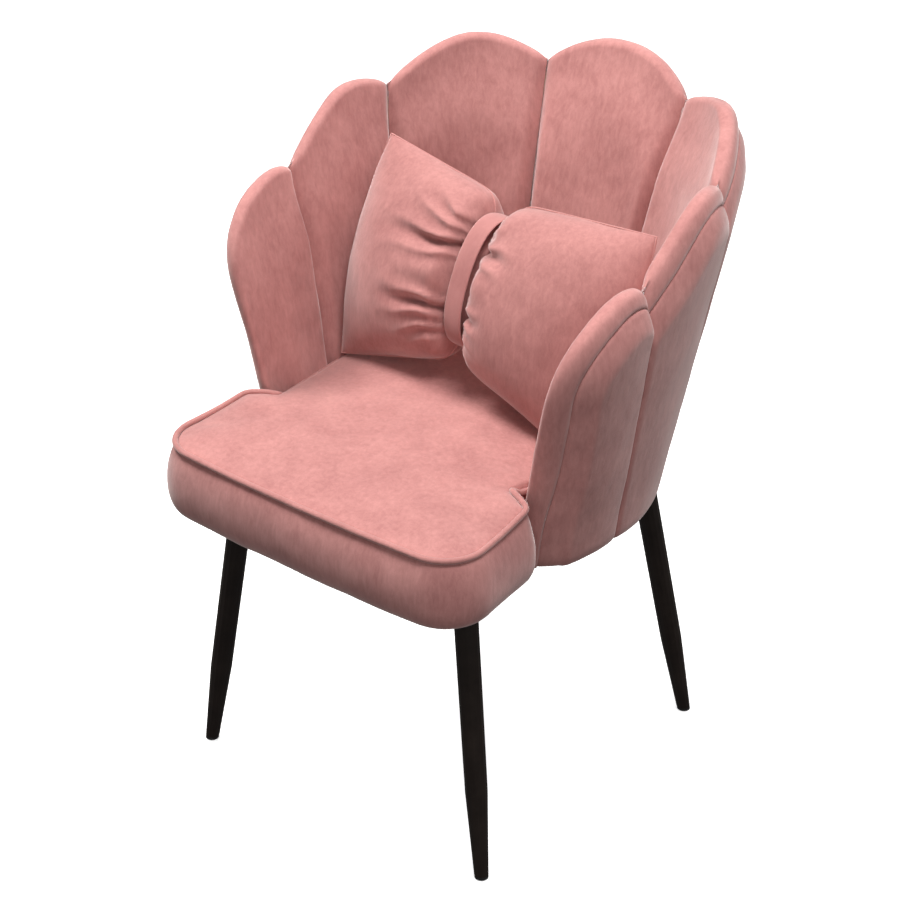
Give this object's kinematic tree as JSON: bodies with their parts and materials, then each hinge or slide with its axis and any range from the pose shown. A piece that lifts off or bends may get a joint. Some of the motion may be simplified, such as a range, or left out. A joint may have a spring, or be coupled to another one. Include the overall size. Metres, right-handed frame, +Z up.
{
  "type": "upholstered armchair",
  "caption": "Upholstered tub chair with a scalloped petal back, low arms, a piped seat on splayed tapered legs, and a loose bow cushion that lifts off.",
  "frame": {"origin": "on the floor, 5 mm behind the centre of the chair's plan box", "axes": "+Z up; the seat faces -Y; +X to the right of someone who stands in front and looks at the chair"},
  "size_m": [0.5618, 0.6423, 0.811],
  "materials": {
    "velvet": "short-pile velvet, dusty pink, matt with a soft sheen",
    "band_velvet": "smooth flat velvet band, dusty pink",
    "foam": "open-cell polyurethane foam",
    "plywood": "raw birch plywood",
    "timber": "raw laminated timber",
    "black_steel": "satin black-brown powder coat",
    "zinc_steel": "zinc-plated steel",
    "black_plastic": "moulded black nylon",
    "black_felt": "black non-woven dust cover"
  },
  "bodies": {
    "chair": {"seat_board": "plywood", "dust_cover": "black_felt", "seat_foam": "foam", "seat_top_cover": "velvet", "seat_border_cover": "velvet", "seat_welt": "velvet", "base_rail": "timber", "shell_board": "plywood", "inner_pad_arm_left": "velvet", "inner_pad_side_left": "velvet", "inner_pad_back_left": "velvet", "inner_pad_back_centre": "velvet", "inner_pad_back_right": "velvet", "inner_pad_side_right": "velvet", "inner_pad_arm_right": "velvet", "outer_pad_arm_left": "velvet", "outer_pad_side_left": "velvet", "outer_pad_back_left": "velvet", "outer_pad_back_centre": "velvet", "outer_pad_back_right": "velvet", "outer_pad_side_right": "velvet", "outer_pad_arm_right": "velvet", "leg_front_left": "black_steel", "leg_front_right": "black_steel", "leg_rear_left": "black_steel", "leg_rear_right": "black_steel", "foot_glide_front_left": "black_plastic", "foot_glide_front_right": "black_plastic", "foot_glide_rear_left": "black_plastic", "foot_glide_rear_right": "black_plastic", "leg_plate_front_left": "zinc_steel", "leg_plate_front_right": "zinc_steel", "leg_plate_rear_left": "zinc_steel", "leg_plate_rear_right": "zinc_steel", "leg_screw_front_left_a": "zinc_steel", "leg_screw_front_left_b": "zinc_steel", "leg_screw_front_right_a": "zinc_steel", "leg_screw_front_right_b": "zinc_steel", "leg_screw_rear_left_a": "zinc_steel", "leg_screw_rear_left_b": "zinc_steel", "leg_screw_rear_right_a": "zinc_steel", "leg_screw_rear_right_b": "zinc_steel", "shell_cleat_rear_left": "zinc_steel", "shell_cleat_rear_right": "zinc_steel", "shell_cleat_side_left": "zinc_steel", "shell_cleat_side_right": "zinc_steel", "cleat_screw_rear_left_seat": "zinc_steel", "cleat_screw_rear_left_shell": "zinc_steel", "cleat_screw_rear_right_seat": "zinc_steel", "cleat_screw_rear_right_shell": "zinc_steel", "cleat_screw_side_left_seat": "zinc_steel", "cleat_screw_side_left_shell": "zinc_steel", "cleat_screw_side_right_seat": "zinc_steel", "cleat_screw_side_right_shell": "zinc_steel"},
    "pillow": {"bow_body": "velvet", "bow_band": "band_velvet"}
  },
  "joints": [
    {"name": "pillow_lift", "type": "slide", "parent": "chair", "child": "pillow", "axis": [0, 0, 1], "range_m": [0, 0.4]}
  ]
}
